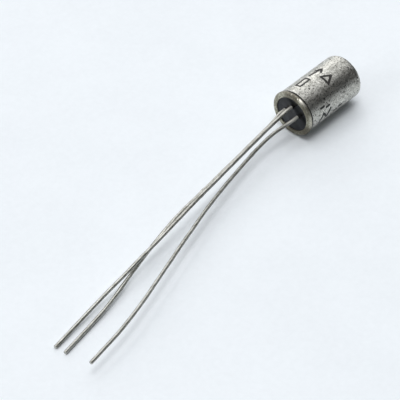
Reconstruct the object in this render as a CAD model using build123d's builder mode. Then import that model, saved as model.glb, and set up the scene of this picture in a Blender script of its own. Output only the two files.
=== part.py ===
from build123d import *
import math
import os
from collections import namedtuple

# A small-signal germanium transistor in a cylindrical metal can, with three long wire leads bent by hand.
# It lies on its side, with its flange and the cut ends of two wires on the floor. All sizes are millimetres.
# The origin is the centre of the header ring's seating face. +X runs along the can to its closed end,
# the wires leave towards -X, and +Z is up.

# Metal can, drawn in one piece
can_diameter = 5.9
can_wall = 0.25
case_length = 10.0
can_end_radius = 0.5
mouth_radius = 0.06

# Header ring that closes the can's mouth: its flange stands proud of the can, its wall goes round the glass
flange_overhang = 0.1
flange_thickness = 0.5
flange_edge_radius = 0.28
skirt_length = 1.5
skirt_clearance = 0.01
ring_wall = 0.34
opening_edge_radius = 0.06

# Dark glass, fused in the ring and round the wires, with a hairline left between the solids
glass_recess = 0.19
glass_thickness = 1.6
glass_hairline = 0.004
meniscus_height = 0.1
meniscus_wall = 0.05
meniscus_radius = 0.08

# Lead wires, on a pin circle that sits a little to one side of the can's axis
wire_diameter = 0.45
pin_circle_diameter = 2.0
pin_shift = 0.12
exit_straight = 0.8
cut_chamfer = 0.04
short_post = 1.6
base_post = 3.0

# Share of the shorter run beside a bend that goes into its arc, and the same at each wire's last bend
bend_share = 0.45
last_bend_share = 0.12

# Length of a wire outside the seat, and how much shorter two of them were cut
lead_length = 44.8
emitter_shorter = 0.6
base_shorter = 0.7

# Where each wire's last run points in plan, and the height of the cut end that stays off the floor
emitter_heading = 9.2
base_heading = 7.4
collector_heading = 8.5
collector_end_height = 2.1

# Nickel base tab with a window, welded to the side of the base post
tab_thickness = 0.15
tab_length = 2.2
tab_height = 2.3
tab_gap = 1.4
tab_above_post = 0.3
tab_corner_radius = 0.2
window_diameter = 0.8
weld_hairline = 0.004

# Crystal: a germanium wafer soldered round the window, with an alloyed bead on each side
wafer_size = 1.3
wafer_thickness = 0.15
solder_thickness = 0.03
solder_width = 0.12
emitter_bead_diameter = 0.5
emitter_bead_height = 0.2
collector_bead_diameter = 0.8
collector_bead_height = 0.26
bead_edge_radius = 0.14
fine_wire_diameter = 0.1
fine_wire_bend = 0.15

# Silicone grease in the closed end of the can, up to a gap from the base tab
grease_gap = 0.74
grease_clearance = 0.02

# Sizes and places that follow from the ones above
can_radius = can_diameter / 2
can_inner_radius = can_radius - can_wall
can_length = case_length - flange_thickness
can_inner_end = case_length - can_wall
flange_radius = can_radius + flange_overhang
flange_back_radius = flange_thickness - flange_edge_radius
skirt_end = flange_thickness + skirt_length
skirt_radius = can_inner_radius - skirt_clearance
opening_radius = skirt_radius - ring_wall
wire_radius = wire_diameter / 2
pin_radius = pin_circle_diameter / 2
glass_back = glass_recess + glass_thickness
short_post_end = glass_back + short_post
base_post_end = glass_back + base_post
tab_end = glass_back + tab_gap + tab_length
floor_level = -flange_radius
emitter_length = lead_length - emitter_shorter
base_length = lead_length - base_shorter
lying_height = wire_radius

# Where the three wires pass the glass, as Y and Z
emitter_pin = (pin_shift + pin_radius, 0)
base_pin = (pin_shift, pin_radius)
collector_pin = (pin_shift - pin_radius, 0)
pins = [emitter_pin, base_pin, collector_pin]

# A bend is set by its distance out from the seat, its place across and its height over the floor
Bend = namedtuple("Bend", "out across up")

emitter_bends = [
    Bend(out=3.0, across=0.63, up=3.03),
    Bend(out=10.6, across=-0.33, up=2.96),
    Bend(out=17.0, across=-1.08, up=2.86),
    Bend(out=23.6, across=-1.84, up=2.62),
    Bend(out=27.4, across=-2.33, up=1.62),
    Bend(out=36.0, across=-4.22, up=0.5),
    Bend(out=39.6, across=-4.77, up=0.28),
]
base_bends = [
    Bend(out=5.5, across=-0.3, up=3.83),
    Bend(out=20.0, across=-2.0, up=3.27),
    Bend(out=23.8, across=-2.47, up=2.92),
    Bend(out=27.6, across=-2.68, up=2.25),
    Bend(out=36.5, across=-3.24, up=0.95),
    Bend(out=39.8, across=-3.54, up=0.48),
]
collector_bends = [
    Bend(out=4.2, across=-0.5, up=2.87),
    Bend(out=9.5, across=-1.05, up=2.46),
    Bend(out=18.2, across=-2.93, up=2.38),
    Bend(out=34.0, across=-7.83, up=2.32),
    Bend(out=38.5, across=-8.88, up=2.25),
]


def wire_corners(pin, bends, length, heading, end_height):
    """Corner points of a lead, from where it passes the seat to its cut end."""
    y, z = pin
    corners = [Vector(0, y, z), Vector(-exit_straight, y, z)]
    corners += [Vector(-bend.out, bend.across, floor_level + bend.up) for bend in bends]
    used = sum((b - a).length for a, b in zip(corners, corners[1:]))
    last = corners[-1]
    drop = last.Z - floor_level - end_height
    reach = math.sqrt((length - used) ** 2 - drop**2)
    turn = math.radians(heading)
    cut_end = Vector(last.X - reach * math.cos(turn), last.Y - reach * math.sin(turn), last.Z - drop)
    return [*corners, cut_end]


def bend_radii(corners):
    """One radius for each bend, so that its arc takes a share of the shorter run beside it."""
    radii = []
    for before, corner, after in zip(corners, corners[1:], corners[2:]):
        run_in = corner - before
        run_out = after - corner
        share = last_bend_share if after is corners[-1] else bend_share
        half_turn = math.radians(run_in.get_angle(run_out)) / 2
        radii.append(share * min(run_in.length, run_out.length) / math.tan(half_turn))
    return radii


os.makedirs("parts", exist_ok=True)

# Can: a cup with one wall thickness all over, open towards -X
with BuildPart() as can:
    with BuildSketch(Plane.YZ.offset(flange_thickness)):
        Circle(can_radius)
    extrude(amount=can_length)
    fillet(can.edges().sort_by(Axis.X)[-1], can_end_radius)
    offset(amount=-can_wall, openings=can.faces().sort_by(Axis.X)[0])
    mouth_rim = can.edges().group_by(Axis.X)[0].sort_by(SortBy.RADIUS)[-1]
    fillet(mouth_rim, mouth_radius)

can.part.label = "can"
export_step(can.part, "parts/can.step")

# Header ring: a flange with a rounded rim that the can's mouth seats on, and a skirt inside the can's bore
with BuildPart() as header_ring:
    with BuildSketch(Plane.XZ):
        with BuildLine():
            Polyline(
                (0, flange_radius - flange_edge_radius),
                (0, opening_radius),
                (skirt_end, opening_radius),
                (skirt_end, skirt_radius),
                (flange_thickness, skirt_radius),
                (flange_thickness, flange_radius - flange_back_radius),
            )
            CenterArc((flange_edge_radius, flange_radius - flange_edge_radius), flange_edge_radius, 90, 90)
            CenterArc((flange_edge_radius, flange_radius - flange_back_radius), flange_back_radius, 0, 90)
        make_face()
    revolve(axis=Axis.X)
    opening_rim = header_ring.edges().group_by(Axis.X)[0].sort_by(SortBy.RADIUS)[0]
    fillet(opening_rim, opening_edge_radius)

header_ring.part.label = "header_ring"
export_step(header_ring.part, "parts/header_ring.step")

# Glass seal: a disc that fills the ring, with a meniscus where it climbs each wire
with BuildPart() as glass_seal:
    with BuildSketch(Plane.YZ.offset(glass_recess)):
        Circle(opening_radius - glass_hairline)
    extrude(amount=glass_thickness)
    with BuildSketch(Plane.YZ.offset(glass_recess)):
        with Locations(*pins):
            Circle(wire_radius + meniscus_wall)
    extrude(amount=-meniscus_height)
    front_edges = glass_seal.edges().filter_by_position(Axis.X, glass_recess, glass_recess)
    fillet(front_edges.sort_by(SortBy.RADIUS)[: len(pins)], meniscus_radius)
    with BuildSketch(Plane.YZ.offset(glass_back)):
        with Locations(*pins):
            Circle(wire_radius + glass_hairline)
    extrude(amount=-glass_thickness - meniscus_height, mode=Mode.SUBTRACT)

glass_seal.part.label = "glass_seal"
export_step(glass_seal.part, "parts/glass_seal.step")

# Leads: one wire each, from the post inside the can through the glass to the cut end
leads = {
    "emitter_lead": (
        short_post_end,
        wire_corners(emitter_pin, emitter_bends, emitter_length, emitter_heading, lying_height),
    ),
    "base_lead": (
        base_post_end,
        wire_corners(base_pin, base_bends, base_length, base_heading, lying_height),
    ),
    "collector_lead": (
        short_post_end,
        wire_corners(collector_pin, collector_bends, lead_length, collector_heading, collector_end_height),
    ),
}
for name, (post_end, corners) in leads.items():
    seat, *bends_and_end = corners
    post_tip = seat + Vector(post_end, 0, 0)
    with BuildPart() as lead:
        with BuildLine() as route:
            FilletPolyline(post_tip, *bends_and_end, radius=bend_radii(corners))
        with BuildSketch(Plane(origin=route.line @ 0, z_dir=route.line % 0)):
            Circle(wire_radius)
        sweep()
        cut_face = lead.faces().sort_by_distance(corners[-1])[0]
        chamfer(cut_face.edges(), cut_chamfer)
    lead.part.label = name
    export_step(lead.part, f"parts/{name}.step")

# Base tab: a flat plate that touches the far side of the base post, with a window for the emitter bead
tab_face = pin_shift + wire_radius + weld_hairline
tab_centre_x = tab_end - tab_length / 2
tab_centre_z = pin_radius + tab_above_post - tab_height / 2
crystal_z = 0
tab_plane = Plane.XZ.offset(-tab_face)

with BuildPart() as base_tab:
    with BuildSketch(tab_plane):
        with Locations((tab_centre_x, tab_centre_z)):
            RectangleRounded(tab_length, tab_height, tab_corner_radius)
        with Locations((tab_centre_x, crystal_z)):
            Circle(window_diameter / 2, mode=Mode.SUBTRACT)
    extrude(amount=-tab_thickness)

base_tab.part.label = "base_tab"
export_step(base_tab.part, "parts/base_tab.step")

# Solder ring between the tab and the wafer, round the window
with BuildPart() as base_solder:
    with BuildSketch(tab_plane):
        with Locations((tab_centre_x, crystal_z)):
            Circle(window_diameter / 2 + solder_width)
            Circle(window_diameter / 2, mode=Mode.SUBTRACT)
    extrude(amount=solder_thickness)

base_solder.part.label = "base_solder"
export_step(base_solder.part, "parts/base_solder.step")

# Crystal: a square wafer on the solder, on the side of the tab that faces the collector wire
wafer_plane = tab_plane.offset(solder_thickness)
with BuildPart() as crystal:
    with BuildSketch(wafer_plane):
        with Locations((tab_centre_x, crystal_z)):
            Rectangle(wafer_size, wafer_size)
    extrude(amount=wafer_thickness)

crystal.part.label = "crystal"
export_step(crystal.part, "parts/crystal.step")

# Emitter pellet: the small bead, on the wafer's face that looks through the window
with BuildPart() as emitter_pellet:
    with BuildSketch(wafer_plane):
        with Locations((tab_centre_x, crystal_z)):
            Circle(emitter_bead_diameter / 2)
    extrude(amount=-emitter_bead_height)
    fillet(emitter_pellet.faces().sort_by(Axis.Y)[-1].edges(), bead_edge_radius)

emitter_pellet.part.label = "emitter_pellet"
export_step(emitter_pellet.part, "parts/emitter_pellet.step")

# Collector pellet: the large bead, on the wafer's other face
with BuildPart() as collector_pellet:
    with BuildSketch(wafer_plane.offset(wafer_thickness)):
        with Locations((tab_centre_x, crystal_z)):
            Circle(collector_bead_diameter / 2)
    extrude(amount=collector_bead_height)
    fillet(collector_pellet.faces().sort_by(Axis.Y)[0].edges(), bead_edge_radius)

collector_pellet.part.label = "collector_pellet"
export_step(collector_pellet.part, "parts/collector_pellet.step")

# Fine wires: each goes straight up from a bead's flat top and bends over to the end of its post
emitter_bead_top = tab_face - solder_thickness + emitter_bead_height
collector_bead_top = tab_face - solder_thickness - wafer_thickness - collector_bead_height
fine_wires = {
    "emitter_wire": (emitter_bead_top, emitter_pin),
    "collector_wire": (collector_bead_top, collector_pin),
}
for name, (bead_top, pin) in fine_wires.items():
    y, z = pin
    with BuildPart() as fine_wire:
        with BuildLine() as route:
            FilletPolyline(
                (tab_centre_x, bead_top, z), (tab_centre_x, y, z), (short_post_end, y, z), radius=fine_wire_bend
            )
        with BuildSketch(Plane(origin=route.line @ 0, z_dir=route.line % 0)):
            Circle(fine_wire_diameter / 2)
        sweep()
    fine_wire.part.label = name
    export_step(fine_wire.part, f"parts/{name}.step")

# Grease: a plug that fills the closed end of the can
grease_end = can_inner_end - grease_clearance
with BuildPart() as grease_fill:
    with BuildSketch(Plane.YZ.offset(tab_end + grease_gap)):
        Circle(can_inner_radius - grease_clearance)
    extrude(amount=grease_end - tab_end - grease_gap)
    fillet(grease_fill.edges().sort_by(Axis.X)[-1], can_end_radius - can_wall)

grease_fill.part.label = "grease_fill"
export_step(grease_fill.part, "parts/grease_fill.step")
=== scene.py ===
import logging
import math
from contextlib import contextmanager
from dataclasses import dataclass
from enum import Enum
from typing import Any, Iterator, Sequence

import bmesh
import bpy
from bpy.types import Material, Object
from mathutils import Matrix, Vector, noise
from mathutils.geometry import delaunay_2d_cdt


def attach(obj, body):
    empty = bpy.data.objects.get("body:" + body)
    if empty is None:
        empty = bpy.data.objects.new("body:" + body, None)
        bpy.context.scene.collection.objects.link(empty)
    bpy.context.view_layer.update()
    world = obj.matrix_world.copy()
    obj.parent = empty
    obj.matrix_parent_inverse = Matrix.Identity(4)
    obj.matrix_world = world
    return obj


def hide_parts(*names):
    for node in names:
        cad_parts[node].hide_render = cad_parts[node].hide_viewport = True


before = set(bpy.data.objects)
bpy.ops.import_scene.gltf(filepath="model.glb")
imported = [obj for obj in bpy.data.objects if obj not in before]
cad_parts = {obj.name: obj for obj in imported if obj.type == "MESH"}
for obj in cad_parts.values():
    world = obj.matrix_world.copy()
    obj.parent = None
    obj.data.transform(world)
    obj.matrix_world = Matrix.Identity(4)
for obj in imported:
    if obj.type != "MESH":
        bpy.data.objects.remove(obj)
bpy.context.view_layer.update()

log = logging.getLogger("transistor")

# Lengths below are written in millimetres and angles in degrees; meshes are in metres.
MM = 0.001
ROOT = "root"
CAN_RADIUS = 2.95
RING_RADIUS = 3.05
FLOOR_LEVEL = -RING_RADIUS
LOW_SIDE = "low_side"
BEND_RADIUS = "bend_radius"
SOCKETS = {int: "NodeSocketInt", float: "NodeSocketFloat"}

Point = tuple[float, float]
Way = tuple[float, float, float]
Shade = tuple[int, int, int]


def linear(shade: Sequence[float]) -> tuple[float, float, float, float]:
    """Turns a screen colour, 0 to 255, into the linear colour that a shader takes."""
    shares = [part / 255 for part in shade]
    # The screen curve has a straight foot and is a power above it.
    return (*(s / 12.92 if s <= 0.04045 else ((s + 0.055) / 1.055) ** 2.4 for s in shares), 1.0)


class Reading:
    """A node's output that is used in sums as if it were a plain number."""

    def __init__(self, sheet: "NodeSheet", socket: bpy.types.NodeSocket) -> None:
        """Wraps one output socket of a node on a sheet."""
        self.sheet = sheet
        self.socket = socket

    def __add__(self, other: "Reading | float") -> "Reading":
        """Adds a reading or a number."""
        return self.sheet.sum("ADD", self, other)

    __radd__ = __add__

    def __mul__(self, other: "Reading | float") -> "Reading":
        """Multiplies by a reading or a number."""
        return self.sheet.sum("MULTIPLY", self, other)

    __rmul__ = __mul__

    def __sub__(self, other: "Reading | float") -> "Reading":
        """Takes a reading or a number away."""
        return self.sheet.sum("SUBTRACT", self, other)

    def __rsub__(self, other: float) -> "Reading":
        """Takes this reading away from a number."""
        return self.sheet.sum("SUBTRACT", other, self)

    def __truediv__(self, other: "Reading | float") -> "Reading":
        """Divides by a reading or a number."""
        return self.sheet.sum("DIVIDE", self, other)

    def __neg__(self) -> "Reading":
        """Turns the sign round."""
        return self * -1.0

    def squared(self) -> "Reading":
        """Multiplies the reading by itself."""
        return self * self

    def root(self) -> "Reading":
        """Takes the square root."""
        return self.sheet.sum("SQRT", self)

    def falling(self) -> "Reading":
        """Gives e to the power of minus this reading."""
        return self.sheet.sum("EXPONENT", -self)

    def least(self, other: "Reading | float") -> "Reading":
        """Gives the smaller of two."""
        return self.sheet.sum("MINIMUM", self, other)

    def most(self, other: "Reading | float") -> "Reading":
        """Gives the larger of two."""
        return self.sheet.sum("MAXIMUM", self, other)

    def held(self) -> "Reading":
        """Keeps the reading between 0 and 1."""
        return self.least(1.0).most(0.0)

    def rise(self, start: float, end: float) -> "Reading":
        """Goes smoothly from 0 at start to 1 at end, or from 1 to 0 where end is the smaller.

        Args:
            start: the reading at which the result is still 0.
            end: the reading from which the result is 1.

        Returns:
            The smooth step.
        """
        if end < start:
            return 1.0 - self.rise(end, start)
        return self.sheet.node(
            "ShaderNodeMapRange",
            {"interpolation_type": "SMOOTHSTEP"},
            {"Value": self, "From Min": start, "From Max": end},
        )

    def also(self, output: str) -> "Reading":
        """Gives another output of the same node, by its name."""
        return Reading(self.sheet, self.socket.node.outputs[output])


class NodeSheet:
    """A node tree, and the one place where nodes are added to it."""

    def __init__(self, tree: bpy.types.NodeTree) -> None:
        """Takes a tree and empties it."""
        self.tree = tree
        tree.nodes.clear()

    def node(
        self,
        kind: str,
        settings: dict[str, Any] | None = None,
        values: dict[str | int, Any] | None = None,
        output: str | int = 0,
    ) -> Reading:
        """Adds a node.

        Args:
            kind: the node's type.
            settings: its properties, set first.
            values: numbers, colours or readings for its inputs, by name or by place in use.
            output: the output to give back, by name or by place in use.

        Returns:
            A reading of that output.
        """
        made = self.tree.nodes.new(kind)
        for name, setting in (settings or {}).items():
            setattr(made, name, setting)
        ready = [socket for socket in made.inputs if socket.enabled]
        for key, value in (values or {}).items():
            by_name = [socket for socket in ready if socket.name == key]
            socket = ready[key] if isinstance(key, int) else by_name[0]
            if isinstance(value, Reading):
                self.tree.links.new(value.socket, socket)
            else:
                socket.default_value = value
        given = [socket for socket in made.outputs if socket.enabled]
        if not given:
            return Reading(self, made.inputs[0])
        return Reading(self, given[output] if isinstance(output, int) else made.outputs[output])

    def sum(self, operation: str, *terms: "Reading | float") -> Reading:
        """Adds a Math node with its terms in order."""
        return self.node("ShaderNodeMath", {"operation": operation}, dict(enumerate(terms)))

    def vector(
        self, operation: str, values: dict[str | int, Any], output: int | str = 0
    ) -> Reading:
        """Adds a Vector Math node."""
        return self.node("ShaderNodeVectorMath", {"operation": operation}, values, output)

    def split(self, vector: Reading, axis: str) -> Reading:
        """Gives a vector's X, Y or Z; also() then gives the other two."""
        return self.node("ShaderNodeSeparateXYZ", {}, {"Vector": vector}, axis)

    def blend(self, share: "Reading | float", first: Any, second: Any) -> Reading:
        """Mixes screen colours or readings: share 0 gives the first and 1 the second."""
        a, b = (c if isinstance(c, Reading) else linear(c) for c in (first, second))
        return self.node("ShaderNodeMix", {"data_type": "RGBA"}, {"Factor": share, "A": a, "B": b})

    def place(self) -> Reading:
        """Gives the place on the piece in millimetres, in the part's own frame."""
        here = self.node("ShaderNodeTexCoord", output="Object")
        return self.vector("SCALE", {"Vector": here, "Scale": 1 / MM})

    def grain(
        self,
        where: Reading,
        density: Reading | float,
        seed: Reading | float,
        detail: float = 3.0,
        rough: float = 0.55,
    ) -> Reading:
        """Adds noise from 0 to 1, with so many clouds in one unit of the place."""
        return self.node(
            "ShaderNodeTexNoise",
            {"noise_dimensions": "4D"},
            {"Vector": where, "W": seed, "Scale": density, "Detail": detail, "Roughness": rough},
        )


class Polish(Enum):
    """How smooth a metal finish is, as its mean roughness."""

    BRIGHT = 0.24
    WORN = 0.36
    DULL = 0.46


@dataclass(frozen=True)
class Surface:
    """What every finish sets on its shader."""

    colour: Any
    roughness: Any
    metallic: Any
    height: Reading | None = None
    relief: float = 0.01
    shine: float = 0.5

    def dress(self, sheet: NodeSheet) -> None:
        """Adds the shader and the material output.

        Args:
            sheet: the material's sheet, on which the readings are.
        """
        values = {"Base Color": self.colour, "Roughness": self.roughness, "Metallic": self.metallic}
        values["Specular IOR Level"] = self.shine
        if self.height is not None:
            bump = {"Strength": 1.0, "Distance": self.relief * MM, "Height": self.height}
            values["Normal"] = sheet.node("ShaderNodeBump", {}, bump)
        shader = sheet.node("ShaderNodeBsdfPrincipled", {}, values)
        sheet.node("ShaderNodeOutputMaterial", {}, {"Surface": shader})


def new_sheet(name: str) -> tuple[Material, NodeSheet]:
    """Makes a material with an empty sheet of nodes.

    Args:
        name: the material's name.

    Returns:
        The material and its sheet.
    """
    material = bpy.data.materials.new(name)
    material.use_nodes = True
    return material, NodeSheet(material.node_tree)


@dataclass(frozen=True)
class Stroke:
    """One inked line on the can, between two places given along the can and round it."""

    start: Point
    end: Point
    width: float = 0.24

    def distance(self, along: Reading, round_it: Reading) -> Reading:
        """Measures how far a place is from the line's edge.

        Args:
            along: place along the can.
            round_it: place round the can.

        Returns:
            The distance, below 0 inside the line.
        """
        run = (self.end[0] - self.start[0], self.end[1] - self.start[1])
        span = run[0] ** 2 + run[1] ** 2
        across = (along - self.start[0], round_it - self.start[1])
        share = ((across[0] * run[0] + across[1] * run[1]) / span).held()
        aside = [part - share * step for part, step in zip(across, run)]
        return (aside[0].squared() + aside[1].squared()).root() - self.width / 2


def outline(points: Sequence[Point], width: float) -> list[Stroke]:
    """Joins points to a closed outline, with one stroke of that width for each side."""
    return [Stroke(a, b, width) for a, b in zip(points, [*points[1:], points[0]])]


@dataclass(frozen=True)
class InkMarks:
    """Plain signs printed on the can: a frame, an arrow, a triangle, a zigzag and dashes."""

    radius: float = CAN_RADIUS
    thin: float = 0.22
    thick: float = 0.26
    blur: float = 0.06
    wear: float = 0.1
    frame_low: Point = (2.05, -1.22)
    frame_high: Point = (3.8, -0.5)
    arrow_tail: Point = (4.5, -1.15)
    arrow_tip: Point = (6.35, -0.75)
    arrow_barbs: tuple[Point, ...] = ((5.65, -1.3), (5.75, -0.35))
    triangle_centre: Point = (5.45, 0.85)
    triangle_radius: float = 0.78
    zigzag: tuple[Point, ...] = ((1.9, 5.5), (2.6, 4.4), (3.25, 5.3), (3.9, 4.3))
    dashes: tuple[Point, ...] = ((2.3, 3.5), (3.2, 3.8), (4.6, 5.3), (5.5, 5.1))
    dash_length: float = 0.55

    def strokes(self) -> list[Stroke]:
        """Lists every inked line.

        Returns:
            The lines.
        """
        (low_x, low_a), (high_x, high_a) = self.frame_low, self.frame_high
        frame_corners = [(low_x, low_a), (high_x, low_a), (high_x, high_a), (low_x, high_a)]
        lines = outline(frame_corners, self.thin)
        lines += [Stroke(self.arrow_tip, end) for end in (self.arrow_tail, *self.arrow_barbs)]
        (x, a), r = self.triangle_centre, self.triangle_radius
        turns = [math.radians(turn) for turn in (0, 120, 240)]
        lines += outline([(x + r * math.cos(t), a + r * math.sin(t)) for t in turns], self.thick)
        lines += [Stroke(a, b, self.thick) for a, b in zip(self.zigzag, self.zigzag[1:])]
        lines += [Stroke(dash, (dash[0] + self.dash_length, dash[1])) for dash in self.dashes]
        return lines

    def cover(self, sheet: NodeSheet, where: Reading) -> Reading:
        """Says where the ink lies.

        Args:
            sheet: the material's sheet.
            where: the place in millimetres.

        Returns:
            1 on the ink and 0 beside it.
        """
        along = sheet.split(where, "X")
        angle = sheet.sum("ARCTAN2", -along.also("Y"), along.also("Z"))
        round_it = sheet.sum("WRAP", angle, math.pi * 1.5, -math.pi / 2) * self.radius
        worn = sheet.grain(where, 9.0, seed=31.0, detail=2.0) * self.wear - self.wear / 2
        nearest = None
        for stroke in self.strokes():
            gap = stroke.distance(along, round_it)
            nearest = gap if nearest is None else nearest.least(gap)
        return (nearest + worn).rise(self.blur, 0.0)


@dataclass(frozen=True)
class PlatedCan:
    """Dull grey plating, clouded and pitted, with ink marks, painted shade in a band round the side
    and painted shade in the seam at the mouth.
    """

    polish: Polish = Polish.WORN
    light: Shade = (237, 236, 229)
    dark: Shade = (121, 120, 113)
    stain_and_shade: Shade = (92, 87, 74)
    pit: Shade = (52, 49, 43)
    gap: Shade = (30, 27, 22)
    ink: Shade = (26, 23, 22)
    seam: Point = (0.72, 0.62)
    painted_band_angle: float = 62.0
    painted_band_width: float = 18.0

    def material(self) -> Material:
        """Makes the material.

        Returns:
            The material.
        """
        made, sheet = new_sheet("dull_plating")
        where = sheet.place()
        along = sheet.split(where, "X")
        angle = sheet.sum("ARCTAN2", -along.also("Y"), along.also("Z")) * (180 / math.pi)
        broad = sheet.grain(where, 0.55, seed=1.0, detail=2.0)
        cloud = sheet.grain(where, 2.8, seed=2.0, detail=4.0, rough=0.65)
        speck = sheet.grain(where, 6.5, seed=3.0, rough=0.7)
        tone = (cloud * 0.8 + speck * 1.4 + broad * 0.2 - 0.7).rise(0.17, 0.85)
        colour = sheet.blend(tone, self.dark, self.light)
        # Painted shade: a band round the can, where a dark reflection falls, in which the real dirt
        # and pits are made denser.
        painted_dark_band = ((angle - self.painted_band_angle) / self.painted_band_width).squared().falling()
        worn = (broad + (cloud - 0.5) * 0.5 + painted_dark_band * 0.12).rise(0.46, 0.6)
        dirt_and_shade = ((cloud + (speck - 0.5) * 0.8 + painted_dark_band * 0.05).rise(0.57, 0.67) * worn).held()
        colour = sheet.blend(dirt_and_shade * 0.6, colour, self.stain_and_shade)
        hole = sheet.grain(where, 4.2, seed=5.0, detail=1.0)
        pits = (hole + (broad - 0.5) * 0.35 + painted_dark_band * 0.02).rise(0.62, 0.65)
        colour = sheet.blend(pits * 0.9, colour, self.pit)
        # Painted shade in the seam where the can's mouth meets the ring.
        seam = (along + (cloud - 0.5) * 0.12).rise(*self.seam)
        colour = sheet.blend(seam, colour, self.gap)
        inked = InkMarks().cover(sheet, where)
        colour = sheet.blend(inked * 0.97, colour, self.ink)
        rough = (cloud - 0.5) * 0.25 + dirt_and_shade * 0.12 + pits * 0.2 + (inked + seam) * 0.3
        rough = (rough + self.polish.value).held()
        metal = (1.0 - dirt_and_shade * 0.25 - pits * 0.35) * (1.0 - inked) * (1.0 - seam)
        height = cloud * 0.5 + speck * 0.4 - pits * 0.6
        Surface(colour, rough, metal.held(), height, relief=0.03).dress(sheet)
        return made


@dataclass(frozen=True)
class RingMetal:
    """Yellowish grey metal, mottled, with brown stains, a painted highlight on the rim, painted
    shade on the side facing the floor and painted shade in the seam.
    """

    radius: float = RING_RADIUS
    polish: Polish = Polish.WORN
    light: Shade = (202, 199, 182)
    dark: Shade = (94, 91, 76)
    stain_and_shade: Shade = (74, 67, 52)
    painted_highlight: Shade = (246, 243, 232)
    gap: Shade = (30, 27, 22)
    seam: Point = (0.32, 0.42)
    rim_depth: Point = (0.26, 0.08)

    def material(self) -> Material:
        """Makes the material.

        Returns:
            The material.
        """
        made, sheet = new_sheet("ring_plating")
        where = sheet.place()
        cloud = sheet.grain(where, 4.2, seed=11.0, detail=4.0, rough=0.7)
        broad = sheet.grain(where, 0.6, seed=12.0, detail=2.0)
        speck = sheet.grain(where, 6.0, seed=13.0, rough=0.65)
        across = sheet.split(where, "Y")
        up = across.also("Z")
        out = (across.squared() + up.squared()).root()
        rim = [self.radius - depth for depth in self.rim_depth]
        # Painted highlight: a bright band on the rounded rim.
        rim_highlight = (out + (cloud - 0.5) * 0.1).rise(*rim)
        tone = (cloud * 1.1 + speck * 1.3 - 0.7).rise(0.25, 0.75)
        colour = sheet.blend(tone, self.dark, self.light)
        # The sides that face the viewer's right, the floor and away from the viewer: the painted
        # highlight is kept off the first and the last, and the side facing the floor gets painted
        # shade.
        right = (up * -0.42 - across * 0.9 + (broad - 0.5) * 1.5).rise(-0.5, 2.0)
        below = (up * -0.87 - across * 0.5 + (broad - 0.5) * 1.0).rise(0.6, 2.4)
        behind = (up * 0.7 + across * 0.7).rise(1.9, 2.7)
        dirt_and_shade = (broad + (cloud - 0.5) * 0.7 + (speck - 0.5) * 0.6 + below * 0.04).rise(0.5, 0.6)
        colour = sheet.blend(dirt_and_shade * 0.65, colour, self.stain_and_shade)
        # Painted shade on the side that faces the floor; the same mask makes the dirt a little
        # denser there.
        colour = sheet.blend(below * 0.4, colour, self.stain_and_shade)
        highlight_share = rim_highlight * (1.0 - dirt_and_shade) * (1.0 - right * 0.8) * (1.0 - behind * 0.85)
        colour = sheet.blend(highlight_share * 0.9, colour, self.painted_highlight)
        along = sheet.split(where, "X")
        # Painted shade in the seam where the ring meets the can's mouth.
        seam = (along + (cloud - 0.5) * 0.06).rise(*self.seam)
        colour = sheet.blend(seam, colour, self.gap)
        rough = self.polish.value + (cloud - 0.5) * 0.3 + dirt_and_shade * 0.15
        metal = (1.0 - dirt_and_shade * 0.3) * (1.0 - seam)
        height = cloud * 0.6 + speck * 0.3
        Surface(colour, rough.held(), metal, height, relief=0.025).dress(sheet)
        return made


@dataclass(frozen=True)
class SealGlass:
    """Slate-black sealing glass with a soft sheen, a painted reflection tint in the middle and a
    painted dark band of shade towards the top and the viewer's right.
    """

    deep: Shade = (6, 7, 9)
    pale: Shade = (30, 33, 40)
    painted_reflection_tint: Shade = (22, 18, 21)
    gloss: float = 0.12

    def material(self) -> Material:
        """Makes the material.

        Returns:
            The material.
        """
        made, sheet = new_sheet("seal_glass")
        where = sheet.place()
        cloud = sheet.grain(where, 0.9, seed=21.0, detail=2.0)
        fine = sheet.grain(where, 6.0, seed=22.0)
        colour = sheet.blend(cloud.rise(0.35, 0.65), self.deep, self.pale)
        across = sheet.split(where, "Y")
        # Painted reflection: a purplish tint in the middle of the glass.
        middle = (across.squared() + across.also("Z").squared()).root().rise(1.1, 0.4)
        colour = sheet.blend(middle * 0.5, colour, self.painted_reflection_tint)
        # Painted shade: a dark band towards the top and the viewer's right, made metallic there so
        # that it reflects almost nothing.
        slant = across.also("Z") * 0.8 - across * 0.6 + (cloud - 0.5) * 0.6
        painted_seal_shade = slant.rise(0.3, 1.2) * slant.rise(2.2, 1.3)
        colour = sheet.blend(painted_seal_shade, colour, self.deep)
        rough = self.gloss + (fine - 0.5) * 0.12 + cloud * 0.06
        height = cloud * 0.5 + fine * 0.3
        Surface(colour, rough.held(), painted_seal_shade, height, relief=0.02, shine=0.3).dress(sheet)
        return made


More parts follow.
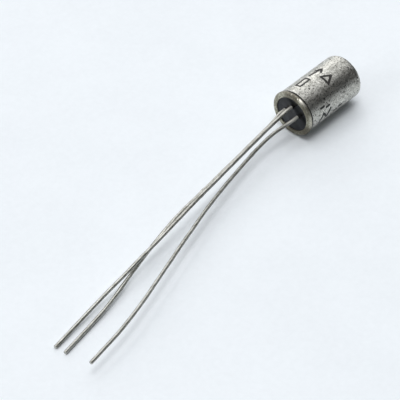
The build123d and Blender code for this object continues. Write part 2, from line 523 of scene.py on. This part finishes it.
@dataclass(frozen=True)
class TinnedWire:
    """Grey tin on wire: streaks along it, dull spots, duller towards the can, painted shade on the
    low side and painted light near the seal.
    """

    name: str
    seed: float
    polish: Polish = Polish.WORN
    light: Shade = (212, 212, 206)
    dark: Shade = (132, 130, 121)
    dull: Shade = (82, 77, 68)
    shade: Shade = (40, 38, 43)
    seal_light_colour: Shade = (246, 244, 236)
    lit_zone_near_seal: Point = (-2.6, -0.4)
    duller_zone: Point = (-34.0, -6.0)
    streak_stretch: float = 0.16

    def material(self) -> Material:
        """Makes the material.

        Returns:
            The material.
        """
        made, sheet = new_sheet(self.name)
        where = sheet.place()
        stretch = {"Vector": where, "Scale": (self.streak_stretch, 1.0, 1.0)}
        long_way = sheet.node("ShaderNodeMapping", {"vector_type": "POINT"}, stretch)
        streak = sheet.grain(long_way, 7.0, self.seed, rough=0.6)
        patch = sheet.grain(where, 0.8, self.seed + 1)
        speck = sheet.grain(where, 5.0, self.seed + 2, rough=0.6)
        tone = (streak * 0.7 + speck * 0.5 + patch * 0.2 - 0.2).rise(0.28, 0.7)
        colour = sheet.blend(tone, self.dark, self.light)
        along = sheet.split(where, "X")
        # Duller and darker towards the can.
        near = along.rise(*self.duller_zone)
        colour = sheet.blend(near * 0.14, colour, self.dull)
        spots = (speck + (patch - 0.5) * 0.8).rise(0.66, 0.76)
        colour = sheet.blend(spots * 0.6, colour, self.dull)
        # Painted shade on the side that faces down and to the viewer's right, stronger towards the
        # can.
        low_side = sheet.node("ShaderNodeAttribute", {"attribute_name": LOW_SIDE}, output="Fac")
        # Painted light: the wire is made lighter and rougher close to the seal.
        lit_near_seal = along.rise(*self.lit_zone_near_seal)
        low_side_shade = (low_side + (patch - 0.5) * 0.4).rise(0.4, 0.9)
        low_side_shade = low_side_shade * (near * 0.5 + 0.5) * (1.0 - lit_near_seal * 0.6)
        colour = sheet.blend(low_side_shade * 0.85, colour, self.shade)
        colour = sheet.blend(lit_near_seal * (1.0 - low_side_shade) * 0.8, colour, self.seal_light_colour)
        rough = self.polish.value + (patch - 0.5) * 0.25 + spots * 0.2 + lit_near_seal * 0.2
        height = streak * 0.5 + speck * 0.5
        Surface(colour, rough.held(), 1.0 - spots * 0.4, height, relief=0.012).dress(sheet)
        return made


@dataclass(frozen=True)
class PlainMetal:
    """A small inner metal part: an even colour with faint clouds."""

    name: str
    light: Shade
    dark: Shade
    seed: float
    polish: Polish = Polish.WORN

    def material(self) -> Material:
        """Makes the material.

        Returns:
            The material.
        """
        made, sheet = new_sheet(self.name)
        where = sheet.place()
        cloud = sheet.grain(where, 4.0, self.seed, detail=4.0, rough=0.6)
        colour = sheet.blend(cloud.rise(0.3, 0.7), self.dark, self.light)
        rough = self.polish.value + (cloud - 0.5) * 0.2
        Surface(colour, rough.held(), 1.0, cloud, relief=0.006).dress(sheet)
        return made


@dataclass(frozen=True)
class CutCrystal:
    """Dark grey germanium with a fine etched grain."""

    light: Shade = (122, 122, 126)
    dark: Shade = (84, 84, 89)

    def material(self) -> Material:
        """Makes the material.

        Returns:
            The material.
        """
        made, sheet = new_sheet("etched_wafer")
        where = sheet.place()
        etch = sheet.grain(where, 14.0, seed=41.0, detail=2.0)
        colour = sheet.blend(etch.rise(0.35, 0.65), self.dark, self.light)
        metal = 0.8 + etch * 0.1
        Surface(colour, 0.3 + etch * 0.15, metal, etch, relief=0.004).dress(sheet)
        return made


@dataclass(frozen=True)
class Grease:
    """Milky silicone grease with soft swirls."""

    light: Shade = (232, 232, 226)
    dark: Shade = (206, 206, 198)

    def material(self) -> Material:
        """Makes the material.

        Returns:
            The material.
        """
        made, sheet = new_sheet("milky_grease")
        where = sheet.place()
        swirl = sheet.grain(where, 1.2, seed=51.0)
        colour = sheet.blend(swirl.rise(0.3, 0.7), self.dark, self.light)
        Surface(colour, 0.2 + swirl * 0.15, 0.0, swirl, relief=0.03).dress(sheet)
        return made


@dataclass(frozen=True)
class PaleFloor:
    """Matt white paper with painted shade, darker towards the viewer's lower right."""

    light: Shade = (243, 248, 252)
    dark: Shade = (237, 242, 246)
    fade: Point = (0.0, 60.0)

    def material(self) -> Material:
        """Makes the material.

        Returns:
            The material.
        """
        made, sheet = new_sheet("pale_floor")
        where = sheet.place()
        fibre = sheet.grain(where, 1.6, seed=101.0, detail=4.0, rough=0.7)
        soft = sheet.grain(where, 0.12, seed=102.0, detail=2.0)
        # Painted shade: darker towards -Y, the viewer's lower right, with fibres and soft clouds on
        # top.
        away = (-sheet.split(where, "Y")).rise(*self.fade) * 0.6
        away = away + (fibre - 0.5) * 1.6 + (soft - 0.5) * 1.2
        colour = sheet.blend((away + 0.3).held(), self.light, self.dark)
        Surface(colour, 0.9, 0.0, shine=0.1).dress(sheet)
        return made


class GeometryTree(NodeSheet):
    """A geometry node tree with named inputs, put on one object and then made a plain mesh."""

    def __init__(self, name: str, inputs: dict[str, Any]) -> None:
        """Makes the tree.

        Args:
            name: the tree's name.
            inputs: each input's name with its value, a number or a material.
        """
        super().__init__(bpy.data.node_groups.new(name, "GeometryNodeTree"))
        self.inputs = inputs
        new = self.tree.interface.new_socket
        new("Geometry", in_out="INPUT", socket_type="NodeSocketGeometry")
        self.keys = {}
        for label, value in inputs.items():
            kind = SOCKETS.get(type(value), "NodeSocketMaterial")
            self.keys[label] = new(label, in_out="INPUT", socket_type=kind).identifier
        new("Geometry", in_out="OUTPUT", socket_type="NodeSocketGeometry")
        self.given = self.node("NodeGroupInput")

    def asked(self, label: str) -> Reading:
        """Gives the reading of a named input."""
        return self.given.also(label)

    def close(self, geometry: Reading) -> None:
        """Ends the tree with real geometry that carries the piece's material.

        Args:
            geometry: the finished shape.
        """
        real = self.node("GeometryNodeRealizeInstances", {}, {"Geometry": geometry})
        smooth = self.node("GeometryNodeSetShadeSmooth", {}, {"Geometry": real})
        paint = {"Geometry": smooth, "Material": self.asked("Material")}
        painted = self.node("GeometryNodeSetMaterial", {}, paint)
        self.node("NodeGroupOutput", {}, {"Geometry": painted})

    def make(self, piece: Object) -> None:
        """Runs the tree on a piece and leaves a plain mesh on it.

        Args:
            piece: the object whose mesh the tree starts from.
        """
        modifier = piece.modifiers.new("shape", "NODES")
        modifier.node_group = self.tree
        for label, value in self.inputs.items():
            modifier[self.keys[label]] = value
        ready = piece.evaluated_get(bpy.context.evaluated_depsgraph_get())
        mesh = bpy.data.meshes.new_from_object(ready)
        piece.modifiers.remove(modifier)
        mesh.name = piece.name
        piece.data = mesh


def show(name: str, data: bpy.types.ID) -> Object:
    """Puts an object into the scene.

    Args:
        name: the object's name.
        data: its mesh, lamp or camera.

    Returns:
        The object.
    """
    made = bpy.data.objects.new(name, data)
    bpy.context.scene.collection.objects.link(made)
    return made


def polyline(name: str, points: Sequence[Vector]) -> Object:
    """Makes an object from points in metres, joined in a row.

    Args:
        name: the object's name.
        points: the points in order.

    Returns:
        The object, linked to the scene.
    """
    mesh = bpy.data.meshes.new(name)
    edges = [(i, i + 1) for i in range(len(points) - 1)]
    mesh.from_pydata([tuple(p) for p in points], edges, [])
    return show(name, mesh)


@contextmanager
def opened(mesh: bpy.types.Mesh) -> Iterator[bmesh.types.BMesh]:
    """Opens a closed mesh for changes, and leaves all its faces pointing outwards.

    Args:
        mesh: the mesh.

    Yields:
        The mesh in its form for changes.
    """
    work = bmesh.new()
    work.from_mesh(mesh)
    yield work
    bmesh.ops.recalc_face_normals(work, faces=work.faces)
    work.to_mesh(mesh)
    work.free()


def settle(piece: Object, node: str) -> None:
    """Puts a finished piece on the part in place of its CAD node.

    Args:
        piece: the finished piece.
        node: the CAD node that it stands for.
    """
    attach(piece, ROOT)
    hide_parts(node)
    log.info("%s: %d faces, in place of %s", piece.name, len(piece.data.polygons), node)


def straight(start: Point, end: Point, steps: int) -> list[Point]:
    """Places points on a straight line, without the last one."""
    shares = [step / steps for step in range(steps)]
    return [tuple(a + (b - a) * share for a, b in zip(start, end)) for share in shares]


def arc(centre: Point, radius: float, start: float, end: float, steps: int) -> list[Point]:
    """Places points on an arc from one angle in degrees to another, both ends included."""
    turns = [math.radians(start + (end - start) * step / steps) for step in range(steps + 1)]
    return [(centre[0] + radius * math.cos(t), centre[1] + radius * math.sin(t)) for t in turns]


@dataclass
class Turned:
    """A piece turned about the can's axis from a profile, with faint dents."""

    name: str
    node: str
    slot: str
    material: Material
    dent_depth: float
    dents_per_mm: float
    seed: float
    sectors: int = 144
    seam_gap: float = 0.0002

    def profile(self) -> list[Point]:
        """Lists the profile's points, as distance along the axis and out from it."""
        raise NotImplementedError

    def tree(self, points: int, reach: float) -> GeometryTree:
        """Builds the tree that turns the profile round the axis.

        Args:
            points: how many points the profile has.
            reach: the largest radius, at which a dent has its full depth.

        Returns:
            The tree.
        """
        made = GeometryTree(f"turn_{self.name}", {
            "Sectors": self.sectors,
            "Dent Depth": self.dent_depth * MM,
            "Dents Per Metre": self.dents_per_mm / MM,
            "Seed": self.seed,
            "Material": self.material,
        })
        # A square grid of side 1 about its middle: X counts the profile's points, Y goes round.
        grid = made.node("GeometryNodeMeshGrid", {}, {
            "Size X": 1.0,
            "Size Y": 1.0,
            "Vertices X": points,
            "Vertices Y": made.sum("ADD", made.asked("Sectors"), 1.0),
        })
        here = made.node("GeometryNodeInputPosition")
        count = made.split(here, "X")
        drawn = made.node("GeometryNodeSampleIndex", {"data_type": "FLOAT_VECTOR"}, {
            "Geometry": made.asked("Geometry"),
            "Value": here,
            "Index": made.sum("ROUND", (count + 0.5) * (points - 1)),
        })
        along = made.split(drawn, "X")
        out = along.also("Z")
        turn = (count.also("Y") + 0.5) * math.tau
        sides = {"Y": out * made.sum("SINE", turn), "Z": out * made.sum("COSINE", turn)}
        ring = made.node("ShaderNodeCombineXYZ", {}, {"X": along, **sides})
        bumps = made.grain(ring, made.asked("Dents Per Metre"), made.asked("Seed"), 1.0, 0.5)
        shrink = 1.0 - bumps * made.asked("Dent Depth") / (reach * MM)
        dented = made.vector("SCALE", {"Vector": ring, "Scale": shrink})
        placed = made.node("GeometryNodeSetPosition", {}, {"Geometry": grid, "Position": dented})
        weld = {"Geometry": placed, "Distance": self.seam_gap * MM}
        made.close(made.node("GeometryNodeMergeByDistance", {}, weld))
        return made

    def build(self) -> None:
        """Makes the piece and puts it on the part."""
        points = self.profile()
        piece = polyline(self.name, [Vector((x * MM, 0, r * MM)) for x, r in points])
        self.tree(len(points), max(r for _, r in points)).make(piece)
        # Opening the mesh and closing it again turns its faces outwards.
        with opened(piece.data):
            pass
        settle(piece, self.node)


@dataclass
class Can(Turned):
    """The drawn can: a cup with a rounded closed end and an open mouth on the ring."""

    radius: float = CAN_RADIUS
    mouth: float = 0.5
    end: float = 10.0
    wall: float = 0.25
    end_radius: float = 0.5
    mouth_radius: float = 0.06
    barrel_steps: int = 70
    arc_steps: int = 10
    lip_steps: int = 4

    def profile(self) -> list[Point]:
        """Goes from the closed end's middle over the outside to the mouth, and back inside.

        Returns:
            The profile's points.
        """
        bend = (self.end - self.end_radius, self.radius - self.end_radius)
        lip = (self.mouth + self.mouth_radius, self.radius - self.mouth_radius)
        bore = self.radius - self.wall
        inner_bend = self.end_radius - self.wall
        return [
            *straight((self.end, 0), (self.end, bend[1]), self.arc_steps),
            *arc(bend, self.end_radius, 0, 90, self.arc_steps),
            *straight((bend[0], self.radius), (lip[0], self.radius), self.barrel_steps)[1:],
            *arc(lip, self.mouth_radius, 90, 180, self.lip_steps),
            *straight((self.mouth, bore), (bend[0], bore), self.barrel_steps // 4),
            *arc(bend, inner_bend, 90, 0, self.arc_steps),
            (self.end - self.wall, 0),
        ]


@dataclass
class HeaderRing(Turned):
    """The flanged ring: a rounded rim that the can sits on, and a skirt inside the can."""

    radius: float = RING_RADIUS
    thickness: float = 0.5
    edge_radius: float = 0.28
    skirt_radius: float = 2.69
    skirt_end: float = 2.0
    opening: float = 2.35
    opening_edge: float = 0.06
    face_steps: int = 5
    arc_steps: int = 10
    lip_steps: int = 4

    def profile(self) -> list[Point]:
        """Goes round the section once, from the opening over the rim and the skirt.

        Returns:
            The profile's points.
        """
        front = (self.edge_radius, self.radius - self.edge_radius)
        back_radius = self.thickness - self.edge_radius
        back = (self.edge_radius, self.radius - back_radius)
        lip = (self.opening_edge, self.opening + self.opening_edge)
        return [
            *straight((0, lip[1]), (0, front[1]), self.face_steps),
            *arc(front, self.edge_radius, 180, 90, self.arc_steps),
            *arc(back, back_radius, 90, 0, self.arc_steps)[1:],
            (self.thickness, self.skirt_radius),
            (self.skirt_end, self.skirt_radius),
            (self.skirt_end, self.opening),
            *arc(lip, self.opening_edge, -90, -180, self.lip_steps),
        ]


@dataclass
class Seal:
    """The glass that fills the ring: a disc with holes for the wires, which it climbs a little."""

    material: Material
    pins: Sequence[Point]
    name: str = "glass_seal_fused"
    radius: float = 2.346
    hole_radius: float = 0.229
    recess: float = 0.19
    back: float = 1.79
    climb: float = 0.1
    climb_width: float = 0.09
    wall_climb: float = 0.05
    wall_width: float = 0.14
    swell: float = 0.03
    swells_per_mm: float = 1.1
    swell_seed: float = 4.0
    step: float = 0.09
    row_share: float = 0.87
    edge_points: int = 144
    hole_points: int = 32
    ring_points: int = 120
    rings_at_hole: tuple[float, ...] = (0.03, 0.07, 0.12, 0.18)
    rings_at_edge: tuple[float, ...] = (0.04, 0.09, 0.16, 0.25)
    clear_of_hole: float = 0.23
    clear_of_edge: float = 0.31
    slack: float = 0.002
    weld: float = 1e-6
    flat_face: float = 0.3

    def front(self, y: float, z: float) -> float:
        """Gives where the front of the glass is, along the axis.

        Args:
            y: place across.
            z: place up.

        Returns:
            The distance behind the seat in millimetres.
        """
        to_wall = self.radius - math.hypot(y, z)
        place = self.recess - self.wall_climb * math.exp(-to_wall / self.wall_width)
        for pin_y, pin_z in self.pins:
            to_wire = math.hypot(y - pin_y, z - pin_z) - self.hole_radius
            place -= self.climb * math.exp(-max(to_wire, 0) / self.climb_width)
        spot = Vector((y * self.swells_per_mm, z * self.swells_per_mm, self.swell_seed))
        return place + self.swell * noise.noise(spot)

    @staticmethod
    def circle(centre: Point, radius: float, count: int) -> list[Point]:
        """Places points evenly on a circle."""
        turns = [math.tau * i / count for i in range(count)]
        return [(centre[0] + radius * math.cos(t), centre[1] + radius * math.sin(t)) for t in turns]

    def to_pin(self, y: float, z: float) -> float:
        """Gives the distance from a place to the middle of the nearest wire."""
        return min(math.hypot(y - pin_y, z - pin_z) for pin_y, pin_z in self.pins)

    def plan(self) -> tuple[list[Vector], list[list[int]]]:
        """Fills the disc between its edge and the holes with triangles.

        Returns:
            The points and the triangles.
        """
        middle = (0, 0)
        loops = [self.circle(middle, self.radius, self.edge_points)]
        loops += [self.circle(pin, self.hole_radius, self.hole_points) for pin in self.pins]
        free = []
        for pin in self.pins:
            for gap in self.rings_at_hole:
                free += self.circle(pin, self.hole_radius + gap, self.hole_points)
        for gap in self.rings_at_edge:
            free += self.circle(middle, self.radius - gap, self.ring_points)
        reach = int(self.radius / self.step)
        for i in range(-reach, reach + 1):
            for j in range(-reach, reach + 1):
                y, z = (i + 0.5 * (j % 2)) * self.step, j * self.step * self.row_share
                near_wire = self.to_pin(y, z) < self.hole_radius + self.clear_of_hole
                if math.hypot(y, z) < self.radius - self.clear_of_edge and not near_wire:
                    free.append((y, z))
        points, edges = [], []
        for loop in loops:
            first = len(points)
            points += loop
            edges += [(first + i, first + (i + 1) % len(loop)) for i in range(len(loop))]
        points += free
        found = delaunay_2d_cdt([Vector(p) for p in points], edges, [], 0, self.weld)
        corners, triangles = found[0], found[2]
        inside = []
        for triangle in triangles:
            centre = sum((corners[i] for i in triangle), Vector((0, 0))) / 3
            in_hole = self.to_pin(centre.x, centre.y) < self.hole_radius - self.slack
            if centre.length < self.radius and not in_hole:
                inside.append(list(triangle))
        return corners, inside

    def build(self) -> None:
        """Makes the seal and puts it on the part."""
        corners, triangles = self.plan()
        spots = [(p.x, p.y) for p in corners]
        mesh = bpy.data.meshes.new(self.name)
        with opened(mesh) as work:
            add = work.verts.new
            front = [add((self.front(y, z) * MM, y * MM, z * MM)) for y, z in spots]
            back = [add((self.back * MM, y * MM, z * MM)) for y, z in spots]
            for triangle in triangles:
                work.faces.new([front[i] for i in triangle])
                work.faces.new([back[i] for i in reversed(triangle)])
            before = set(front)
            rims = [edge for edge in work.edges if edge.is_boundary and edge.verts[0] in before]
            partner = dict(zip(front, back))
            for a, b in (edge.verts for edge in rims):
                work.faces.new((a, b, partner[b], partner[a]))
            loose = [vert for vert in work.verts if not vert.link_faces]
            bmesh.ops.delete(work, geom=loose, context="VERTS")
        for face in mesh.polygons:
            face.use_smooth = abs(face.normal.x) > self.flat_face
        mesh.materials.append(self.material)
        settle(show(self.name, mesh), "glass_seal")


@dataclass(frozen=True)
class Droplet:
    """A thickening of the tin: place along the wire, half length and how far it stands out."""

    at: float
    half_length: float
    height: float


@dataclass
class Lead:
    """One wire lead, from its post inside the can to its cut end."""

    name: str
    node: str
    seed: float
    pin: Point
    post: float
    bends: Sequence[Way]
    length: float
    heading: float
    end_height: float
    droplets: Sequence[Droplet] = ()
    radius: float = 0.225
    exit_straight: float = 0.8
    bend_share: float = 0.45
    last_bend_share: float = 0.12
    cut_chamfer: float = 0.04
    bend_points: int = 24
    step: float = 0.16
    sides: int = 24
    wobble: float = 0.03
    wobble_gain: float = 4.0
    sways_per_mm: float = 0.28
    thickening: float = 0.035
    lumps_per_mm: float = 1.3
    still_start: Point = (1.0, 5.0)
    still_end: Point = (4.0, 9.0)
    low_way: Way = (0.0, -0.85, -0.53)

    def corners(self) -> list[Vector]:
        """Lists the wire's corner points from the seat to the cut end.

        Returns:
            The points in millimetres.
        """
        y, z = self.pin
        points = [Vector((0, y, z)), Vector((-self.exit_straight, y, z))]
        points += [Vector((-out, across, FLOOR_LEVEL + up)) for out, across, up in self.bends]
        used = sum((b - a).length for a, b in zip(points, points[1:]))
        last = points[-1]
        drop = last.z - FLOOR_LEVEL - self.end_height
        reach = math.sqrt((self.length - used) ** 2 - drop**2)
        turn = math.radians(self.heading)
        step = Vector((-reach * math.cos(turn), -reach * math.sin(turn), -drop))
        return [*points, last + step]

    def bend_radii(self, points: Sequence[Vector]) -> list[float]:
        """Gives the radius of each bend.

        Args:
            points: the corner points.

        Returns:
            One radius in millimetres for each corner between the ends.
        """
        radii = []
        for before, corner, after in zip(points, points[1:], points[2:]):
            run_in, run_out = corner - before, after - corner
            share = self.last_bend_share if after is points[-1] else self.bend_share
            shorter = min(run_in.length, run_out.length)
            radii.append(share * shorter / math.tan(run_in.angle(run_out) / 2))
        return radii

    def tree(self, material: Material) -> GeometryTree:
        """Builds the tree that draws the wire along its corners.

        Args:
            material: the wire's material.

        Returns:
            The tree.
        """
        made = GeometryTree(f"draw_{self.name}", {
            "Wire Radius": self.radius * MM,
            "Step": self.step * MM,
            "Sides": self.sides,
            "Wobble": self.wobble * MM,
            "Thickening": self.thickening,
            "Seed": self.seed,
            "Material": material,
        })
        row = made.node("GeometryNodeMeshToCurve", {}, {"Mesh": made.asked("Geometry")})
        named = {"Name": BEND_RADIUS}
        bend = made.node("GeometryNodeInputNamedAttribute", {"data_type": "FLOAT"}, named)
        bent = made.node("GeometryNodeFilletCurve", {"mode": "POLY"}, {
            "Curve": row, "Radius": bend, "Count": self.bend_points,
        })
        spacing = {"Curve": bent, "Length": made.asked("Step")}
        even = made.node("GeometryNodeResampleCurve", {"mode": "LENGTH"}, spacing)
        along = made.node("GeometryNodeSplineParameter", {}, {}, "Length") / MM - self.post
        here = made.node("GeometryNodeInputPosition")
        seed = made.asked("Seed")
        sway = made.grain(here, self.sways_per_mm / MM, seed, 1.0, 0.5).also("Color")
        centred = made.vector("SUBTRACT", {0: sway, 1: (0.5, 0.5, 0.5)})
        late, later = self.still_end
        free = along.rise(*self.still_start) * along.rise(self.length - late, self.length - later)
        amount = free * made.asked("Wobble") * self.wobble_gain
        shift = made.vector("SCALE", {"Vector": centred, "Scale": amount})
        swayed = made.node("GeometryNodeSetPosition", {}, {"Geometry": even, "Offset": shift})
        skin = made.grain(here, self.lumps_per_mm / MM, seed + 5.0, 2.0, 0.5)
        girth = 1.0 + (skin - 0.5) * made.asked("Thickening") * 2.0 * free
        for drop in self.droplets:
            bulge = ((along - drop.at) / drop.half_length).squared().falling()
            girth = girth + bulge * (drop.height / self.radius)
        size = {"Resolution": made.asked("Sides"), "Radius": made.asked("Wire Radius")}
        section = made.node("GeometryNodeCurvePrimitiveCircle", {}, size)
        drawn = made.node("GeometryNodeCurveToMesh", {}, {
            "Curve": swayed, "Profile Curve": section, "Scale": girth, "Fill Caps": True,
        })
        # Stores how far each point faces the low side, for the painted shade in the wire's
        # material.
        normal = made.node("GeometryNodeInputNormal")
        facing = made.vector("DOT_PRODUCT", {0: normal, 1: self.low_way}, "Value")
        place = {"data_type": "FLOAT", "domain": "POINT"}
        mark = {"Geometry": drawn, "Name": LOW_SIDE, "Value": facing}
        made.close(made.node("GeometryNodeStoreNamedAttribute", place, mark))
        return made

    def trim_end(self, piece: Object, tip: Vector) -> None:
        """Takes the burr off the cut end.

        Args:
            piece: the drawn wire.
            tip: the cut end's centre in metres.
        """
        rounding = {"offset": self.cut_chamfer * MM, "segments": 2, "profile": 0.5}
        with opened(piece.data) as work:
            caps = [face for face in work.faces if len(face.verts) > 4]
            cut = min(caps, key=lambda face: (face.calc_center_median() - tip).length)
            bmesh.ops.bevel(work, geom=list(cut.edges), affect="EDGES", **rounding)
            for face in work.faces:
                face.smooth = len(face.verts) <= 4

    def build(self) -> None:
        """Makes the lead and puts it on the part."""
        seat, *rest = self.corners()
        points = [seat + Vector((self.post, 0, 0)), *rest]
        piece = polyline(self.name, [p * MM for p in points])
        radii = [0.0, *(r * MM for r in self.bend_radii([seat, *rest])), 0.0]
        attribute = piece.data.attributes.new(BEND_RADIUS, "FLOAT", "POINT")
        attribute.data.foreach_set("value", radii)
        material = TinnedWire(f"tinned_{self.node}", self.seed).material()
        self.tree(material).make(piece)
        self.trim_end(piece, points[-1] * MM)
        settle(piece, self.node)


@dataclass
class Transistor:
    """The whole part: what shows outside, and the small parts sealed in the can."""

    pin_radius: float = 1.0
    pin_shift: float = 0.12
    lead_length: float = 44.8
    emitter_shorter: float = 0.6
    base_shorter: float = 0.7
    short_post: float = 3.39
    long_post: float = 4.79
    pair_height: float = 0.225
    collector_height: float = 2.1

    def pins(self) -> dict[str, Point]:
        """Gives where each wire passes the glass, across and up."""
        return {
            "emitter": (self.pin_shift + self.pin_radius, 0.0),
            "base": (self.pin_shift, self.pin_radius),
            "collector": (self.pin_shift - self.pin_radius, 0.0),
        }

    def leads(self) -> list[Lead]:
        """Describes the three bent wires.

        A bend is given as its distance out from the seat, its place across and its height over
        the floor.

        Returns:
            The three wires.
        """
        pins = self.pins()
        emitter = Lead(
            "emitter_wire_bent", "emitter_lead", 61.0, pins["emitter"], self.short_post,
            bends=[
                (3.0, 0.63, 3.03), (10.6, -0.33, 2.96), (17.0, -1.08, 2.86), (23.6, -1.84, 2.62),
                (27.4, -2.33, 1.62), (36.0, -4.22, 0.5), (39.6, -4.77, 0.28),
            ],
            length=self.lead_length - self.emitter_shorter,
            heading=9.2,
            end_height=self.pair_height,
            droplets=[Droplet(17.0, 0.35, 0.03), Droplet(33.5, 0.5, 0.03)],
        )
        base = Lead(
            "base_wire_bent", "base_lead", 71.0, pins["base"], self.long_post,
            bends=[
                (5.5, -0.3, 3.83), (20.0, -2.0, 3.27), (23.8, -2.47, 2.92), (27.6, -2.68, 2.25),
                (36.5, -3.24, 0.95), (39.8, -3.54, 0.48),
            ],
            length=self.lead_length - self.base_shorter,
            heading=7.4,
            end_height=self.pair_height,
            droplets=[Droplet(18.0, 0.3, 0.04)],
        )
        collector = Lead(
            "collector_wire_bent", "collector_lead", 81.0, pins["collector"], self.short_post,
            bends=[
                (4.2, -0.5, 2.87), (9.5, -1.05, 2.46), (18.2, -2.93, 2.38), (34.0, -7.83, 2.32),
                (38.5, -8.88, 2.25),
            ],
            length=self.lead_length,
            heading=8.5,
            end_height=self.collector_height,
            droplets=[Droplet(8.2, 0.3, 0.04)],
        )
        return [emitter, base, collector]

    def dress_inside(self) -> None:
        """Gives the sealed inner parts their finishes."""
        indium = ((196, 197, 200), (150, 151, 155))
        wire = ((190, 186, 176), (140, 136, 126))
        finishes = {
            "base_tab": PlainMetal("nickel_tab", (200, 196, 184), (150, 146, 134), 91.0),
            "base_solder": PlainMetal(
                "soft_solder", (176, 178, 180), (128, 130, 133), 92.0, Polish.DULL
            ),
            "crystal": CutCrystal(),
            "emitter_pellet": PlainMetal("indium_small", *indium, 93.0, Polish.BRIGHT),
            "collector_pellet": PlainMetal("indium_large", *indium, 94.0, Polish.BRIGHT),
            "emitter_wire": PlainMetal("fine_wire_emitter", *wire, 95.0),
            "collector_wire": PlainMetal("fine_wire_collector", *wire, 96.0),
            "grease_fill": Grease(),
        }
        for node, finish in finishes.items():
            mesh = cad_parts[node].data
            mesh.materials.clear()
            mesh.materials.append(finish.material())
            log.info("%s: finished as %s", node, type(finish).__name__)

    def build(self) -> None:
        """Makes and places every piece."""
        Can(
            "plated_can", "can", "can_metal", PlatedCan().material(),
            dent_depth=0.03, dents_per_mm=0.35, seed=7.0,
        ).build()
        HeaderRing(
            "flanged_ring", "header_ring", "ring_metal", RingMetal().material(),
            dent_depth=0.02, dents_per_mm=0.8, seed=8.0,
        ).build()
        Seal(SealGlass().material(), list(self.pins().values())).build()
        for lead in self.leads():
            lead.build()
        self.dress_inside()


@dataclass(frozen=True)
class Lamp:
    """A distant lamp: how wide it looks, how far it leans from straight above, and its side."""

    name: str
    strength: float
    width: float
    lean: float
    side: float

    def hang(self) -> None:
        """Puts the lamp into the scene."""
        light = bpy.data.lights.new(self.name, "SUN")
        light.energy = self.strength
        light.angle = math.radians(self.width)
        turned = (0.0, math.radians(self.lean), math.radians(self.side))
        show(self.name, light).rotation_euler = turned


@dataclass
class Studio:
    """A pale floor, four plain lamps, soft light all round, and the camera."""

    floor_size: float = 3.0
    lamps: tuple[Lamp, ...] = (
        Lamp("high_lamp", strength=0.66, width=20.0, lean=10.0, side=212.0),
        Lamp("low_lamp", strength=0.48, width=40.0, lean=66.0, side=51.0),
        Lamp("left_lamp", strength=0.3, width=24.0, lean=62.0, side=164.0),
        Lamp("back_lamp", strength=0.16, width=14.0, lean=29.0, side=84.0),
    )
    sky: Shade = (252, 253, 255)
    room_light: float = 0.55
    least_light: float = 0.02
    ceiling_light: float = 1.5
    ceiling_width: float = 0.15
    ceiling_way: Way = (0.1, 0.05, 0.99)
    dark_lean: float = 25.0
    dark_fade: Point = (-0.35, 0.55)
    ahead_fade: Point = (0.66, 0.86)
    ahead_dim: float = 0.6
    seat_pixel: Point = (291.38, 114.32)
    image_size: float = 400.0
    focal_pixels: float = 1778.7
    view_turn: float = -46.87
    view_down: float = 44.98
    view_depth: float = 216.33
    sensor: float = 36.0
    near_clip: float = 0.01

    def floor(self) -> None:
        """Lays the floor under the part."""
        half = self.floor_size / 2
        level = FLOOR_LEVEL * MM
        corners = [(x * half, y * half, level) for x, y in ((-1, -1), (1, -1), (1, 1), (-1, 1))]
        mesh = bpy.data.meshes.new("floor")
        mesh.from_pydata(corners, [], [(0, 1, 2, 3)])
        mesh.materials.append(PaleFloor().material())
        floor = show("floor", mesh)

    def world(self) -> None:
        """Lights the part from above and behind, and leaves the viewer's right dark."""
        world = bpy.data.worlds.new("studio")
        world.use_nodes = True
        bpy.context.scene.world = world
        sheet = NodeSheet(world.node_tree)
        way = sheet.node("ShaderNodeTexCoord", output="Generated")
        across = sheet.split(way, "Y")
        lean = math.radians(self.dark_lean)
        side = across * math.cos(lean) + across.also("Z") * math.sin(lean)
        above = sheet.vector("DOT_PRODUCT", {0: way, 1: self.ceiling_way}, "Value")
        ceiling = ((1.0 - above) / self.ceiling_width).falling() * self.ceiling_light
        ahead = across.also("X").rise(*self.ahead_fade)
        bright = side.rise(*self.dark_fade) * (ceiling + self.room_light)
        bright = bright * (1.0 - ahead * self.ahead_dim) + self.least_light
        light = {"Color": linear(self.sky), "Strength": bright}
        shader = sheet.node("ShaderNodeBackground", {}, light)
        sheet.node("ShaderNodeOutputWorld", {}, {"Surface": shader})

    def camera(self) -> None:
        """Sets the camera as in the photo, so that the seat's centre falls on its pixel."""
        turn, down = math.radians(self.view_turn), math.radians(self.view_down)
        right = Vector((math.cos(turn), math.sin(turn), 0))
        flat = math.cos(down)
        look = Vector((-math.sin(turn) * flat, math.cos(turn) * flat, -math.sin(down)))
        up = right.cross(look)
        middle = self.image_size / 2
        across = (self.seat_pixel[0] - middle) / self.focal_pixels * self.view_depth
        below = (self.seat_pixel[1] - middle) / self.focal_pixels * self.view_depth
        view = bpy.data.cameras.new("camera")
        view.sensor_width = self.sensor
        view.lens = self.focal_pixels / self.image_size * self.sensor
        view.clip_start = self.near_clip
        camera = show("camera", view)
        camera.location = (up * below - right * across - look * self.view_depth) * MM
        camera.rotation_euler = look.to_track_quat("-Z", "Y").to_euler()
        bpy.context.scene.camera = camera

    def build(self) -> None:
        """Sets up the floor, the light and the camera."""
        self.floor()
        for lamp in self.lamps:
            lamp.hang()
        self.world()
        self.camera()
        bpy.context.scene.view_settings.view_transform = "Standard"
        log.info("studio: floor, four lamps, world and camera")


def main() -> None:
    """Builds the part and the studio round it."""
    logging.basicConfig(level=logging.INFO, format="%(message)s")
    Transistor().build()
    Studio().build()


if __name__ == "__main__":
    main()
